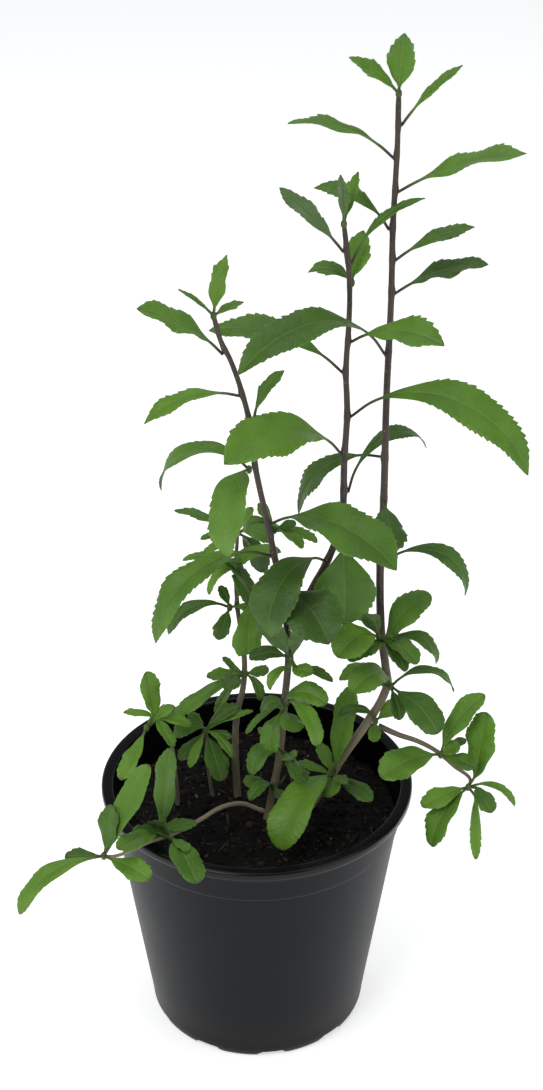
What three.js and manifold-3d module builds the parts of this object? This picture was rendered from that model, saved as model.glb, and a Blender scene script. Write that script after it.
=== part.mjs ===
// Potted goji berry plant: a young shrub with toothed leaves in a round black nursery pot.
// Millimetres, +Z up. The origin is the centre of the pot's base, on the surface that it stands on.
// +X is to the right of the pot's front and -Y is the front. Headings are degrees in plan from +X
// towards +Y (so 270 points to the front), and a rise is degrees above the horizontal.

import * as THREE from "three";
import { mergeVertices } from "three/addons/utils/BufferGeometryUtils.js";
import Module from "manifold-3d";

const wasm = await Module();
wasm.setup();

// ---- Driving dimensions -------------------------------------------------------------------------

const potHeight = 148;
const rimRadius = 85;
const lipWidth = 6.5;
const lipDepth = 5;
const wallTopRadius = 81;
const wallStepDrop = 22; // below the rim, where the wall steps in by wallStep
const wallStep = 0.6;
const wallBaseRadius = 61;
const wallThickness = 1.5;
const footRadius = 57;
const footWidth = 2.5;
const cornerHeight = 8; // of the rounded corner between foot and wall
const floorClearance = 4; // the underside of the pot's floor above the ground
const floorThickness = 1.6;
const padRadius = 12; // the flat pad in the middle of the base
const lipRound = 1.2; // of the lip's outer edge
const lipInnerRound = 0.8; // of the lip's inner edge
const shelfHeight = 2; // of the slopes inside the wall at its step and its corner
const potSides = 48;

const notchCount = 10; // drainage notches round the foot
const notchWidth = 14;
const notchHeight = 3.5;
const notchDepth = 16; // cut radially through the foot
const firstNotchHeading = 278;
const drainCount = 8; // round drain holes through the floor
const drainRadius = 5;
const drainCircle = 38;
const drainLength = 20; // cut through the floor
const drainSides = 12;

const soilTop = 128;
const soilEdgeDrop = 1.5; // the soil is a little lower where it meets the wall
const soilEdgeWidth = 6;
const soilClear = 0.8; // between the soil and the inside of the wall

const gap = 0.3; // between neighbouring pieces
const stemSides = 6;
const stemRingSpacing = 11;
const crownRadius = 2.8; // the bud that a tuft of small leaves grows from
const petioleWidth = 1.8;
const petioleThickness = 1.4;
const bladeThickness = 0.8;
const bladeFold = 14; // degrees that each half of a leaf is folded up from flat

const up = new THREE.Vector3(0, 0, 1);
const radians = THREE.MathUtils.degToRad;

// ---- Materials ----------------------------------------------------------------------------------

const finish = (color, roughness) => new THREE.MeshStandardMaterial({ color, roughness, metalness: 0 });
const blackPlastic = finish(0x26272a, 0.42);
const peat = finish(0x15110f, 0.95);
const woodyBark = finish(0x5a5142, 0.7);
const purpleBark = finish(0x4a3a36, 0.6);
const paleBark = finish(0x8c8268, 0.7);
const leafGreen = finish(0x4f7a2c, 0.5);
const youngLeafGreen = finish(0x6b9434, 0.5);

const plant = new THREE.Group();

function addPiece(name, geometry, material) {
  const mesh = new THREE.Mesh(geometry, material);
  mesh.name = name;
  plant.add(mesh);
}

// ---- Solids -------------------------------------------------------------------------------------

// A solid through rings with equal counts of points, each ring running anticlockwise seen from the
// far end. It ends in the point `apex`, or in a flat face where there is none.
function loft(rings, apex) {
  const count = rings[0].length;
  const points = rings.flat();
  const faces = [];
  for (let side = 1; side < count - 1; side++) {
    faces.push(0, side + 1, side);
  }
  for (let ring = 0; ring < rings.length - 1; ring++) {
    for (let side = 0; side < count; side++) {
      const next = (side + 1) % count;
      const [a, b] = [ring * count + side, ring * count + next];
      faces.push(a, b, b + count, a, b + count, a + count);
    }
  }
  const last = (rings.length - 1) * count;
  if (apex) {
    points.push(apex);
    for (let side = 0; side < count; side++) {
      faces.push(last + side, last + ((side + 1) % count), points.length - 1);
    }
  } else {
    for (let side = 1; side < count - 1; side++) {
      faces.push(last, last + side, last + side + 1);
    }
  }
  const geometry = new THREE.BufferGeometry().setFromPoints(points);
  geometry.setIndex(faces);
  return geometry;
}

function toSolid(geometry) {
  const bare = geometry.clone();
  bare.deleteAttribute("normal");
  bare.deleteAttribute("uv");
  const merged = mergeVertices(bare, 1e-4);
  const vertProperties = new Float32Array(merged.attributes.position.array);
  const triVerts = new Uint32Array(merged.index.array);
  return new wasm.Manifold(new wasm.Mesh({ numProp: 3, vertProperties, triVerts }));
}

function fromSolid(solid) {
  const mesh = solid.getMesh();
  const geometry = new THREE.BufferGeometry();
  geometry.setAttribute("position", new THREE.BufferAttribute(mesh.vertProperties, 3));
  geometry.setIndex(new THREE.BufferAttribute(mesh.triVerts, 1));
  return geometry;
}

// A profile of [radius, height] pairs turned about the Z axis.
function turned(profile) {
  const outline = profile.map(([radius, height]) => new THREE.Vector2(radius, height));
  return new THREE.LatheGeometry(outline, potSides).rotateX(Math.PI / 2);
}

// ---- Pot ----------------------------------------------------------------------------------------

const stepZ = potHeight - wallStepDrop;
const underLip = potHeight - lipDepth;
const floorTop = floorClearance + floorThickness;

// Outer radius of the pot's tapered wall at a height above the rounded corner.
function wallRadius(z) {
  const share = (z - cornerHeight) / (underLip - cornerHeight);
  const taper = THREE.MathUtils.lerp(wallBaseRadius, wallTopRadius, share);
  return z < stepZ ? taper - wallStep : taper;
}

// A quarter-round corner from the foot up to the wall, as [radius, height] pairs.
function roundedCorner(inset) {
  const outer = wallRadius(cornerHeight);
  return [0, 1, 2, 3].map((step) => {
    const turn = (step / 3) * (Math.PI / 2);
    const radius = footRadius + (outer - footRadius) * Math.sin(turn) - inset;
    return [radius, cornerHeight * (1 - Math.cos(turn))];
  });
}

function potShell() {
  const innerTop = rimRadius - lipWidth;
  const outside = [
    ...roundedCorner(0),
    [wallRadius(stepZ - 1), stepZ - 1],
    [wallRadius(stepZ), stepZ],
    [wallRadius(underLip), underLip],
    [rimRadius - lipRound, underLip],
    [rimRadius, underLip + lipRound],
    [rimRadius, potHeight - lipRound],
    [rimRadius - lipRound, potHeight],
  ];
  const inside = [
    [innerTop + lipInnerRound, potHeight],
    [innerTop, potHeight - lipInnerRound],
    [wallRadius(stepZ) - wallThickness, stepZ + shelfHeight],
    [wallRadius(stepZ - 1) - wallThickness, stepZ - shelfHeight],
    [wallRadius(cornerHeight) - wallThickness, cornerHeight + shelfHeight],
    [footRadius - 1, floorTop],
    [0, floorTop],
  ];
  const base = [
    [0, 0],
    [padRadius, 0],
    [padRadius, floorClearance],
    [footRadius - footWidth, floorClearance],
    [footRadius - footWidth, 0],
  ];
  let pot = toSolid(turned([...base, ...outside, ...inside]));
  for (let index = 0; index < notchCount; index++) {
    const notch = new THREE.BoxGeometry(notchWidth, notchDepth, 2 * notchHeight);
    const heading = radians(firstNotchHeading + (360 / notchCount) * index);
    notch.rotateZ(heading + Math.PI / 2);
    notch.translate(footRadius * Math.cos(heading), footRadius * Math.sin(heading), 0);
    pot = pot.subtract(toSolid(notch));
  }
  for (let index = 0; index < drainCount; index++) {
    const drain = new THREE.CylinderGeometry(drainRadius, drainRadius, drainLength, drainSides);
    const heading = radians((360 / drainCount) * index);
    drain.rotateX(Math.PI / 2);
    drain.translate(drainCircle * Math.cos(heading), drainCircle * Math.sin(heading), 0);
    pot = pot.subtract(toSolid(drain));
  }
  return fromSolid(pot);
}

addPiece("pot", potShell(), blackPlastic);

function soilFill() {
  const clear = wallThickness + soilClear;
  const upperRadius = wallRadius(stepZ - 1) - clear;
  return turned([
    [0, floorTop + gap],
    [footRadius - shelfHeight, floorTop + gap],
    [wallRadius(cornerHeight) - clear, cornerHeight + shelfHeight],
    [upperRadius, stepZ - shelfHeight - 1],
    [upperRadius, soilTop - soilEdgeDrop],
    [upperRadius - soilEdgeWidth, soilTop],
    [0, soilTop],
  ]);
}

addPiece("soil", soilFill(), peat);

// ---- Stems --------------------------------------------------------------------------------------

// Every stem is grown as a tapering loft along a smooth route, with its foot cut flat just above
// the soil where it comes out of the pot.
function growStem(name, material, baseRadius, tipRadius, route) {
  const curve = new THREE.CatmullRomCurve3(route.map((point) => new THREE.Vector3(...point)));
  curve.arcLengthDivisions = 400;
  const length = curve.getLength();
  const radiusAt = (share) => THREE.MathUtils.lerp(baseRadius, tipRadius, share);
  const steps = Math.max(3, Math.round(length / stemRingSpacing));
  const frames = curve.computeFrenetFrames(steps, false);
  const rings = [];
  for (let step = 0; step <= steps; step++) {
    const centre = curve.getPointAt(step / steps);
    const ring = [];
    for (let side = 0; side < stemSides; side++) {
      const turn = (2 * Math.PI * side) / stemSides;
      const spoke = frames.normals[step].clone().multiplyScalar(Math.cos(turn));
      spoke.addScaledVector(frames.binormals[step], Math.sin(turn));
      const point = centre.clone().addScaledVector(spoke, radiusAt(step / steps));
      point.z = Math.max(point.z, soilTop + gap);
      ring.push(point);
    }
    rings.push(ring);
  }
  addPiece(name, loft(rings), material);
  return { curve, length, radiusAt };
}

const tallStem = growStem("stem_tall", purpleBark, 2.5, 1.5, [
  [30, 1, 128], [42, 1, 152], [51, 2, 168], [61, 4, 184], [70, 6, 204], [68, 9, 222],
  [66, 12, 242], [65, 14, 278], [66, 16, 312], [66, 18, 369], [67, 20, 423], [67, 22, 461],
  [68, 23, 499], [68, 24, 523],
]);

const leftStem = growStem("stem_left", purpleBark, 2.2, 1.4, [
  [6, -7, 128], [12, -4, 163], [15, -3, 201], [17, -3, 230], [15, -4, 258], [10, -6, 289],
  [5, -8, 317], [0, -10, 345], [-3, -12, 372], [-7, -13, 390], [-12, -14, 406],
  [-17, -15, 418], [-19, -16, 427],
]);

const middleStem = growStem("stem_middle", purpleBark, 2.1, 1.4, [
  [21, 2, 235], [26, 3, 259], [38, 5, 285], [44, 8, 305], [45, 10, 339], [46, 10, 366],
  [45, 10, 389], [46, 10, 414], [46, 9, 434], [45, 9, 447], [43, 8, 464],
]);

const backStem = growStem("stem_back", woodyBark, 2.2, 1, [
  [-11, 11, 128], [-12, 14, 157], [-11, 16, 178], [-7, 18, 199], [-7, 20, 218],
  [-10, 22, 242], [-11, 24, 268], [-10, 26, 284],
]);

const runner = growStem("runner", paleBark, 1.4, 1, [
  [1, -6, 131], [-9, -10, 138], [-20, -21, 143], [-33, -37, 145], [-47, -50, 146],
  [-56, -61, 151], [-65, -71, 153], [-74, -76, 153],
]);

const lowBranch = growStem("branch_right", purpleBark, 1.6, 1, [
  [66, 2, 181], [70, 0, 180], [78, -3, 178], [86, -6, 177], [99, -10, 171],
  [107, -14, 165], [115, -18, 159],
]);

const sideShoot = growStem("shoot_left", woodyBark, 1.4, 0.9, [
  [-44, 5, 129], [-45, -2, 159], [-47, -4, 178], [-53, -6, 190],
]);

const smallShoot = growStem("shoot_small", woodyBark, 1.2, 0.9, [
  [-25, 11, 129], [-27, 10, 149], [-28, 12, 167],
]);

// The pale stub of a stem cut back to the soil.
growStem("cut_stub", paleBark, 2.4, 2.1, [
  [9, -18, soilTop], [9, -18.5, soilTop + 3], [9.5, -19, soilTop + 6],
]);

// ---- Leaves -------------------------------------------------------------------------------------

// The long leaves taper into a pointed tip and a long petiole, and the small ones are spoon-shaped.
const longLeaf = {
  stations: [0, 0.12, 0.24, 0.4, 0.57, 0.74, 0.89],
  petiole: 0.16,
  widest: 0.58,
  taper: 2.2,
};
const smallLeaf = {
  stations: [0, 0.16, 0.36, 0.58, 0.79, 0.93],
  petiole: 0.12,
  widest: 0.62,
  taper: 1.5,
};

// Half-outline of a blade from 0 at its foot to 0 at its tip, and 1 where it is widest.
function bladeOutline(share, { widest, taper }) {
  const rise = Math.pow(share / widest, widest * taper);
  return rise * Math.pow((1 - share) / (1 - widest), (1 - widest) * taper);
}

// A leaf as a thin folded blade on a petiole. Its midrib is an arc from `foot` whose chord, of
// length `reach`, points along `heading` and `rise`, and which turns down by `bend` degrees on
// each side of the chord's direction. `roll` turns the blade about its midrib.
function blade(foot, leaf, kind) {
  const [heading, rise, reach, width, bend, roll] = leaf;
  const [turn, tilt] = [radians(bend), radians(rise)];
  const along = new THREE.Vector3(Math.cos(radians(heading)), Math.sin(radians(heading)), 0);
  const level = new THREE.Vector3().crossVectors(up, along);
  const arcRadius = reach / (2 * Math.sin(turn));
  const midrib = (share) => {
    const slope = tilt + turn - 2 * turn * share;
    const out = arcRadius * (Math.sin(tilt + turn) - Math.sin(slope));
    const high = arcRadius * (Math.cos(slope) - Math.cos(tilt + turn));
    return foot.clone().addScaledVector(along, out).addScaledVector(up, high);
  };
  const rings = kind.stations.map((share) => {
    const slope = tilt + turn - 2 * turn * share;
    const face = along.clone().multiplyScalar(-Math.sin(slope)).addScaledVector(up, Math.cos(slope));
    const side = level.clone().multiplyScalar(Math.cos(radians(roll)));
    side.addScaledVector(face, Math.sin(radians(roll)));
    face.multiplyScalar(Math.cos(radians(roll))).addScaledVector(level, -Math.sin(radians(roll)));
    const bladeShare = Math.max(0, (share - kind.petiole) / (1 - kind.petiole));
    const blend = Math.min(1, bladeShare * 4);
    const half = Math.max(petioleWidth, width * bladeOutline(bladeShare, kind)) / 2;
    const thick = THREE.MathUtils.lerp(petioleThickness, bladeThickness, blend) / 2;
    const lift = half * Math.sin(radians(bladeFold)) * blend;
    const spread = half * Math.cos(radians(bladeFold * blend));
    const centre = midrib(share);
    return [
      centre.clone().addScaledVector(face, thick),
      centre.clone().addScaledVector(side, -spread).addScaledVector(face, lift),
      centre.clone().addScaledVector(face, -thick),
      centre.clone().addScaledVector(side, spread).addScaledVector(face, lift),
    ];
  });
  return loft(rings, midrib(1));
}

// A single leaf that grows from the side of a stem, `at` mm along it.
function growLeaf(name, stem, at, leaf) {
  const [heading, rise, , , bend] = leaf;
  const share = at / stem.length;
  const axis = stem.curve.getPointAt(share);
  const grain = stem.curve.getTangentAt(share);
  const start = new THREE.Vector3(Math.cos(radians(heading)), Math.sin(radians(heading)), 0);
  start.multiplyScalar(Math.cos(radians(rise + bend))).addScaledVector(up, Math.sin(radians(rise + bend)));
  const outward = start.clone().addScaledVector(grain, -start.dot(grain)).normalize();
  const slant = Math.sqrt(Math.max(0, 1 - start.dot(outward) ** 2));
  const foot = axis.addScaledVector(outward, stem.radiusAt(share) + gap + (petioleWidth / 2) * slant);
  addPiece(name, blade(foot, leaf, longLeaf), leafGreen);
}

// A tuft of small leaves that share one bud, on the side of a stem facing `side` or at its tip.
function growTuft(name, stem, at, side, leaves) {
  const share = at / stem.length;
  const grain = stem.curve.getTangentAt(share);
  const centre = stem.curve.getPointAt(share);
  if (side === "tip") {
    centre.addScaledVector(grain, crownRadius + gap);
  } else {
    const outward = new THREE.Vector3(Math.cos(radians(side)), Math.sin(radians(side)), 0);
    outward.addScaledVector(grain, -outward.dot(grain)).normalize();
    centre.addScaledVector(outward, stem.radiusAt(share) + gap + crownRadius);
  }
  const bud = new THREE.IcosahedronGeometry(crownRadius).translate(...centre);
  let tuft = toSolid(bud);
  for (const leaf of leaves) {
    tuft = tuft.add(toSolid(blade(centre, leaf, smallLeaf)));
  }
  addPiece(name, fromSolid(tuft), youngLeafGreen);
}

// Each leaf is [heading, rise, reach, width, bend, roll], in degrees and mm.

const tallStemLeaves = [ // [mm along the stem, leaf]
  [160, [355, -24, 46, 11, 74, 30]],
  [196, [275, -16, 37, 18, 12, -20]],
  [220, [155, -44, 64, 13, 44, -50]],
  [278, [220, 10, 96, 21, 50, -15]],
  [310, [350, 22, 48, 19, 18, 10]],
  [327, [10, 20, 41, 9, 18, 25]],
  [343, [160, 22, 41, 9, 38, -25]],
  [362, [345, 22, 65, 22, 14, 10]],
  [379, [195, 22, 56, 14, 26, -10]],
  [395, [20, 40, 39, 6, 12, 10]],
];
tallStemLeaves.forEach(([at, leaf], index) => growLeaf(`leaf_tall_${index + 1}`, tallStem, at, leaf));

const leftStemLeaves = [ // [mm along the stem, leaf]
  [145, [302, -14, 44, 29, 34, 20]],
  [167, [210, -26, 74, 18, 60, -10]],
  [186, [325, -2, 75, 31, 42, 10]],
  [247, [30, 52, 28, 8, 30, 10]],
  [262, [190, -14, 48, 12, 34, -10]],
  [288, [195, 34, 49, 19, 18, -15]],
];
leftStemLeaves.forEach(([at, leaf], index) => growLeaf(`leaf_left_${index + 1}`, leftStem, at, leaf));

const middleStemLeaves = [ // [mm along the stem, leaf]
  [51, [230, -32, 51, 25, 74, -10]],
  [68, [275, -78, 50, 33, 14, 0]],
  [91, [40, 6, 55, 9, 72, 20]],
  [113, [220, 14, 78, 28, 42, -20]],
  [134, [335, -8, 95, 22, 58, 25]],
  [158, [170, 14, 69, 18, 32, -15]],
  [175, [330, 10, 51, 19, 30, 20]],
  [217, [20, 36, 46, 6, 32, 15]],
  [224, [200, 48, 48, 11, 6, 45]],
];
middleStemLeaves.forEach(([at, leaf], index) => growLeaf(`leaf_middle_${index + 1}`, middleStem, at, leaf));

growTuft("tuft_tall_1", tallStem, 27, 270, [
  [235, -18, 55, 23, 58, 5],
  [265, 8, 24, 12, 12, 20],
  [305, 6, 34, 10, 12, 10],
  [185, 26, 23, 6, 12, -25],
  [55, 72, 53, 15, 10, -5],
  [140, 54, 20, 8, 12, -10],
  [280, 28, 34, 7, 12, 10],
]);
growTuft("tuft_tall_2", tallStem, 67, 290, [
  [35, 14, 20, 10, 12, 35],
  [190, 16, 21, 6, 62, -25],
  [265, -10, 16, 7, 12, 0],
]);
growTuft("tuft_tall_3", tallStem, 87, 290, [
  [230, 24, 38, 16, 58, -25],
  [5, -6, 34, 8, 76, 10],
  [315, -20, 36, 18, 36, 10],
  [190, 18, 30, 10, 64, -25],
  [170, 28, 24, 11, 12, -25],
  [295, -50, 17, 8, 28, 10],
]);
growTuft("tuft_tall_4", tallStem, 113, 300, [
  [230, 16, 45, 19, 50, -20],
  [350, -20, 28, 10, 76, 10],
  [20, 46, 35, 17, 36, 20],
  [305, 0, 25, 12, 46, 5],
  [230, 8, 33, 14, 36, -10],
  [220, 54, 31, 11, 12, 40],
  [290, -8, 24, 10, 28, -5],
]);
growTuft("tuft_tall_tip", tallStem, tallStem.length, "tip", [
  [70, 76, 28, 14, 6, -5],
  [170, 34, 29, 9, 14, -25],
]);
growTuft("tuft_left_1", leftStem, 21, 260, [
  [290, 8, 22, 7, 12, 0],
  [205, 26, 20, 8, 12, -30],
  [230, 6, 20, 8, 62, -10],
]);
growTuft("tuft_left_2", leftStem, 43, 280, [
  [285, 26, 23, 10, 12, 15],
  [230, 0, 26, 12, 76, -5],
  [305, -16, 23, 10, 4, 0],
  [150, 38, 19, 7, 12, -10],
  [285, 10, 31, 8, 26, -10],
]);
growTuft("tuft_left_3", leftStem, 74, 270, [
  [335, 16, 25, 12, 66, 30],
  [280, 0, 26, 13, 12, -20],
  [210, -24, 26, 4, 32, -10],
  [250, -38, 27, 11, 76, 15],
  [305, -18, 31, 11, 74, -5],
  [140, -40, 21, 8, 50, -55],
]);
growTuft("tuft_left_4", leftStem, 96, 300, [
  [310, 20, 17, 8, 12, 50],
  [345, -10, 22, 6, 32, 20],
  [200, 26, 27, 9, 56, -25],
  [340, 72, 17, 8, 10, -55],
  [220, 60, 44, 15, 12, 35],
  [295, 68, 42, 13, 12, 0],
  [220, -20, 17, 6, 76, -5],
]);
growTuft("tuft_left_5", leftStem, 178, 70, [
  [340, 26, 14, 6, 12, 30],
  [320, -10, 20, 7, 42, 10],
  [145, 54, 16, 7, 12, -10],
  [165, -12, 16, 6, 76, -30],
  [10, -22, 25, 6, 26, 30],
]);
growTuft("tuft_left_6", leftStem, 221, 230, [
  [170, -20, 48, 15, 74, -10],
  [250, -46, 46, 22, 76, 15],
]);
growTuft("tuft_left_tip", leftStem, leftStem.length, "tip", [
  [50, 70, 30, 12, 12, -5],
  [165, 34, 21, 3, 12, -20],
  [30, 12, 17, 6, 12, 15],
]);
growTuft("tuft_middle_1", middleStem, 204, 75, [
  [55, 68, 26, 13, 12, 15],
  [175, 12, 22, 10, 46, -25],
]);
growTuft("tuft_middle_tip", middleStem, middleStem.length, "tip", [
  [250, 76, 28, 7, 6, -20],
  [60, 58, 26, 8, 12, -15],
]);
growTuft("tuft_back_1", backStem, 78, 230, [
  [255, 14, 26, 12, 12, -15],
  [145, 34, 13, 5, 12, -10],
  [190, -34, 47, 10, 10, -25],
  [195, 4, 18, 8, 12, -25],
  [310, -22, 20, 6, 76, 0],
  [165, -64, 32, 6, 6, -55],
  [335, 20, 19, 8, 12, 30],
]);
growTuft("tuft_back_2", backStem, 118, 200, [
  [190, -22, 36, 9, 58, -25],
  [250, -32, 20, 10, 12, 10],
  [145, 58, 13, 6, 12, -20],
  [345, -38, 23, 11, 70, 40],
]);
growTuft("tuft_back_3", backStem, 143, 260, [
  [285, -56, 47, 20, 44, -25],
  [250, 30, 28, 12, 30, 5],
  [10, 14, 26, 11, 40, 10],
  [170, 2, 28, 6, 38, -25],
  [210, -40, 20, 5, 50, -15],
  [315, -46, 31, 13, 76, 0],
  [325, -62, 23, 11, 12, 25],
  [130, -42, 25, 6, 22, 45],
]);
growTuft("tuft_back_tip", backStem, backStem.length, "tip", [
  [165, 14, 36, 8, 14, -10],
  [185, -8, 20, 5, 12, -25],
  [210, -18, 22, 5, 4, -15],
  [335, -2, 20, 10, 48, 45],
  [25, 56, 16, 6, 12, 20],
  [140, -4, 18, 5, 12, -20],
  [50, -60, 38, 13, 24, -25],
  [35, -14, 29, 8, 18, 30],
]);
growTuft("tuft_runner_1", runner, 69, 90, [
  [295, -2, 46, 17, 30, -10],
  [225, 20, 22, 11, 12, -25],
  [25, -2, 20, 9, 12, 15],
  [65, 76, 48, 15, 6, -10],
  [245, 24, 52, 12, 10, -15],
  [245, 50, 20, 8, 12, 35],
  [300, 12, 30, 7, 12, 0],
]);
growTuft("tuft_runner_tip", runner, runner.length, "tip", [
  [75, 70, 29, 13, 12, -20],
  [185, 6, 22, 9, 12, -15],
  [205, -22, 53, 12, 48, -10],
  [325, -2, 28, 13, 12, 10],
  [30, 62, 56, 15, 12, 15],
]);
growTuft("tuft_branch_1", lowBranch, 37, 300, [
  [15, 56, 42, 15, 26, 20],
  [210, -2, 38, 18, 28, -20],
  [320, 6, 24, 10, 12, 15],
  [40, 6, 19, 6, 12, 10],
  [330, 42, 15, 8, 12, 60],
]);
growTuft("tuft_branch_tip", lowBranch, lowBranch.length, "tip", [
  [55, 78, 43, 19, 4, -10],
  [210, -4, 34, 13, 12, -10],
  [225, -34, 41, 16, 46, 5],
  [290, -10, 22, 11, 12, -5],
  [350, -28, 25, 5, 50, 25],
  [270, -50, 40, 6, 12, 0],
]);
growTuft("tuft_shoot_tip", sideShoot, sideShoot.length, "tip", [
  [180, 82, 29, 12, 4, -45],
  [195, 18, 18, 5, 12, -25],
  [20, 20, 12, 6, 12, 35],
  [240, -30, 40, 10, 4, 5],
  [300, -20, 22, 8, 12, -10],
  [230, -36, 16, 8, 46, 0],
  [15, -24, 22, 7, 12, 25],
]);
growTuft("tuft_small_tip", smallShoot, smallShoot.length, "tip", [
  [295, -42, 29, 14, 12, -10],
  [205, 4, 18, 9, 68, -40],
  [225, -24, 22, 8, 4, -5],
  [330, 6, 17, 5, 12, 20],
  [350, 44, 27, 8, 24, 35],
  [250, -20, 25, 6, 12, 10],
  [310, -12, 24, 6, 44, 0],
  [150, 38, 14, 7, 12, -10],
  [345, 34, 33, 4, 16, 30],
]);

export default plant;
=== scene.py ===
# %% [markdown]
# # A potted goji berry plant
# This is a young shrub: thin upright stems, a few low side shoots, toothed leaves and a round black
# nursery pot. A plant is made of few kinds of piece, repeated with small differences. So the file
# builds one good leaf, one good stem and one good pot, and grows each piece of the plant from them.
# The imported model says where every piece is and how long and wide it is. Blender adds what a plain
# solid can't show: saw-toothed edges, veins, bark, moulded plastic and crumbly peat.

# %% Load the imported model
import math

import bmesh
import bpy
import numpy as np
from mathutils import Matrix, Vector, noise


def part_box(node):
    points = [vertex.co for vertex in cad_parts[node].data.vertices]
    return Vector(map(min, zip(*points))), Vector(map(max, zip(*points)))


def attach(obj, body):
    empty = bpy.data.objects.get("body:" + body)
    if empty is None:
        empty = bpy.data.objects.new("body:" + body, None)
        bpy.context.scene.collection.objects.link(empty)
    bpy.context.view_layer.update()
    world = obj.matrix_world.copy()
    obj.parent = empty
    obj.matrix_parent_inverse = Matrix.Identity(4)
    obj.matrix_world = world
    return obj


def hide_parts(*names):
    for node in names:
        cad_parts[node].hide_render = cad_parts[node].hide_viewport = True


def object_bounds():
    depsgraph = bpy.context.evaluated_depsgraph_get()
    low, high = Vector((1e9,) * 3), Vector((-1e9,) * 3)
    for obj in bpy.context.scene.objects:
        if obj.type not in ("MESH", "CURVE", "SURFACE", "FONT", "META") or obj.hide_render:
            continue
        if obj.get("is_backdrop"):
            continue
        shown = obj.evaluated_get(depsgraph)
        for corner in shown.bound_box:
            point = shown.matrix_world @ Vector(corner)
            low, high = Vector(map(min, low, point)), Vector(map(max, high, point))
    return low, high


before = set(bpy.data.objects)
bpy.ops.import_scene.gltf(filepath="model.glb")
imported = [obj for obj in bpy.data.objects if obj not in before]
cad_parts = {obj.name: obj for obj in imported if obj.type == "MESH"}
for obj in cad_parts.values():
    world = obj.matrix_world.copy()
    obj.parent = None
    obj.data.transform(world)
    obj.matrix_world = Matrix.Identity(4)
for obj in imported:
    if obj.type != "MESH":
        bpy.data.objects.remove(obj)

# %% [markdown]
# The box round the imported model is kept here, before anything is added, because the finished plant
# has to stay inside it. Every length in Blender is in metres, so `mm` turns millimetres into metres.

cad_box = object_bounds()
mm = 0.001
print("pieces in the packed model:", len(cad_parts))

# %% [markdown]
# ## Camera, floor and light
# The plant is seen from the front and from well above the rim, so that the soil shows. A long lens
# from over a metre away keeps the pot's sides nearly straight. The camera comes first because it
# decides which details are worth making.

# %% Camera
def add_object(name, data):
    made = bpy.data.objects.new(name, data)
    bpy.context.scene.collection.objects.link(made)
    return made


pot_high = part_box("pot")[1]
camera_range = 1.2  # from the middle of the rim
camera_climb = math.radians(35.8)  # of the line from the rim up to the camera
camera_pitch = math.radians(29.7)  # of the lens below the horizontal
camera_shift_right = 8 * mm

camera_data = bpy.data.cameras.new("camera")
camera_data.sensor_fit = "VERTICAL"
camera_data.sensor_height = 36
camera_data.lens = 71.93
camera = add_object("camera", camera_data)
camera.location = (
    camera_shift_right,
    -camera_range * math.cos(camera_climb),
    pot_high.z + camera_range * math.sin(camera_climb),
)
camera.rotation_euler = (math.pi / 2 - camera_pitch, 0, 0)
bpy.context.scene.camera = camera
print("camera at", [round(c, 3) for c in camera.location])

# %% [markdown]
# Colours are written as sRGB hex values, which is what a colour picker shows. A shader works with
# linear light, so one function turns the one into the other. Shader nodes are added by one small
# function that takes the node's kind, its inputs and its settings. An input may be a number, a hex
# colour or another node, which keeps every material below short enough to read. What materials do
# again and again gets a name as well: to calculate, to blend, to remap and to ramp.

# %% Colour and node helpers
def linear(hex_colour):
    """Turns an sRGB hex colour such as "#54782a" into the linear colour that a shader takes."""
    channels = [int(hex_colour[i:i + 2], 16) / 255 for i in (1, 3, 5)]
    return [c / 12.92 if c <= 0.04045 else ((c + 0.055) / 1.055) ** 2.4 for c in channels] + [1.0]


def set_inputs(tree, node, inputs):
    """Sets inputs to numbers or hex colours, or links them to sockets or to nodes' first outputs."""
    for name, value in inputs.items():
        if isinstance(value, bpy.types.Node):
            value = value.outputs[0]
        if isinstance(value, bpy.types.NodeSocket):
            tree.links.new(value, node.inputs[name])
        else:
            node.inputs[name].default_value = linear(value) if isinstance(value, str) else value


def add_node(tree, kind, inputs=(), **settings):
    node = tree.nodes.new("ShaderNode" + kind)
    for name, value in settings.items():
        setattr(node, name, value)
    set_inputs(tree, node, dict(inputs))
    return node


def add_noise(tree, place, scale, detail, roughness=0.5):
    return add_node(tree, "TexNoise", {
        "Vector": place, "Scale": scale, "Detail": detail, "Roughness": roughness})


def maths(tree, operation, *numbers):
    return add_node(tree, "Math", dict(enumerate(numbers)), operation=operation)


def blend(tree, share, under, over):
    return add_node(tree, "MixRGB", {"Fac": share, "Color1": under, "Color2": over})


def remap(tree, value, span, result):
    """Maps one span of numbers onto another and holds it at both ends."""
    return add_node(tree, "MapRange", {
        "Value": value, "From Min": span[0], "From Max": span[1],
        "To Min": result[0], "To Max": result[1]})


def add_bump(tree, height, strength, depth):
    return add_node(tree, "Bump", {"Height": height, "Strength": strength, "Distance": depth})


def add_ramp(tree, share, stops):
    """A colour ramp through (position, hex colour) stops."""
    ramp = add_node(tree, "ValToRGB", {"Fac": share})
    elements = ramp.color_ramp.elements
    elements[0].position, elements[1].position = stops[0][0], stops[-1][0]
    for position, _ in stops[1:-1]:
        elements.new(position)
    for element, (_, colour) in zip(elements, stops):
        element.color = linear(colour)
    return ramp


def new_material(name, **values):
    """A material with one Principled shader, whose even values are set on its own sockets."""
    material = bpy.data.materials.new(name)
    material.use_nodes = True
    shader = material.node_tree.nodes["Principled BSDF"]
    inputs = {socket.replace("_", " "): value for socket, value in values.items()}
    set_inputs(material.node_tree, shader, inputs)
    return material, material.node_tree, shader


print("leaf green in linear light:", [round(c, 3) for c in linear("#54782a")])

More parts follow.
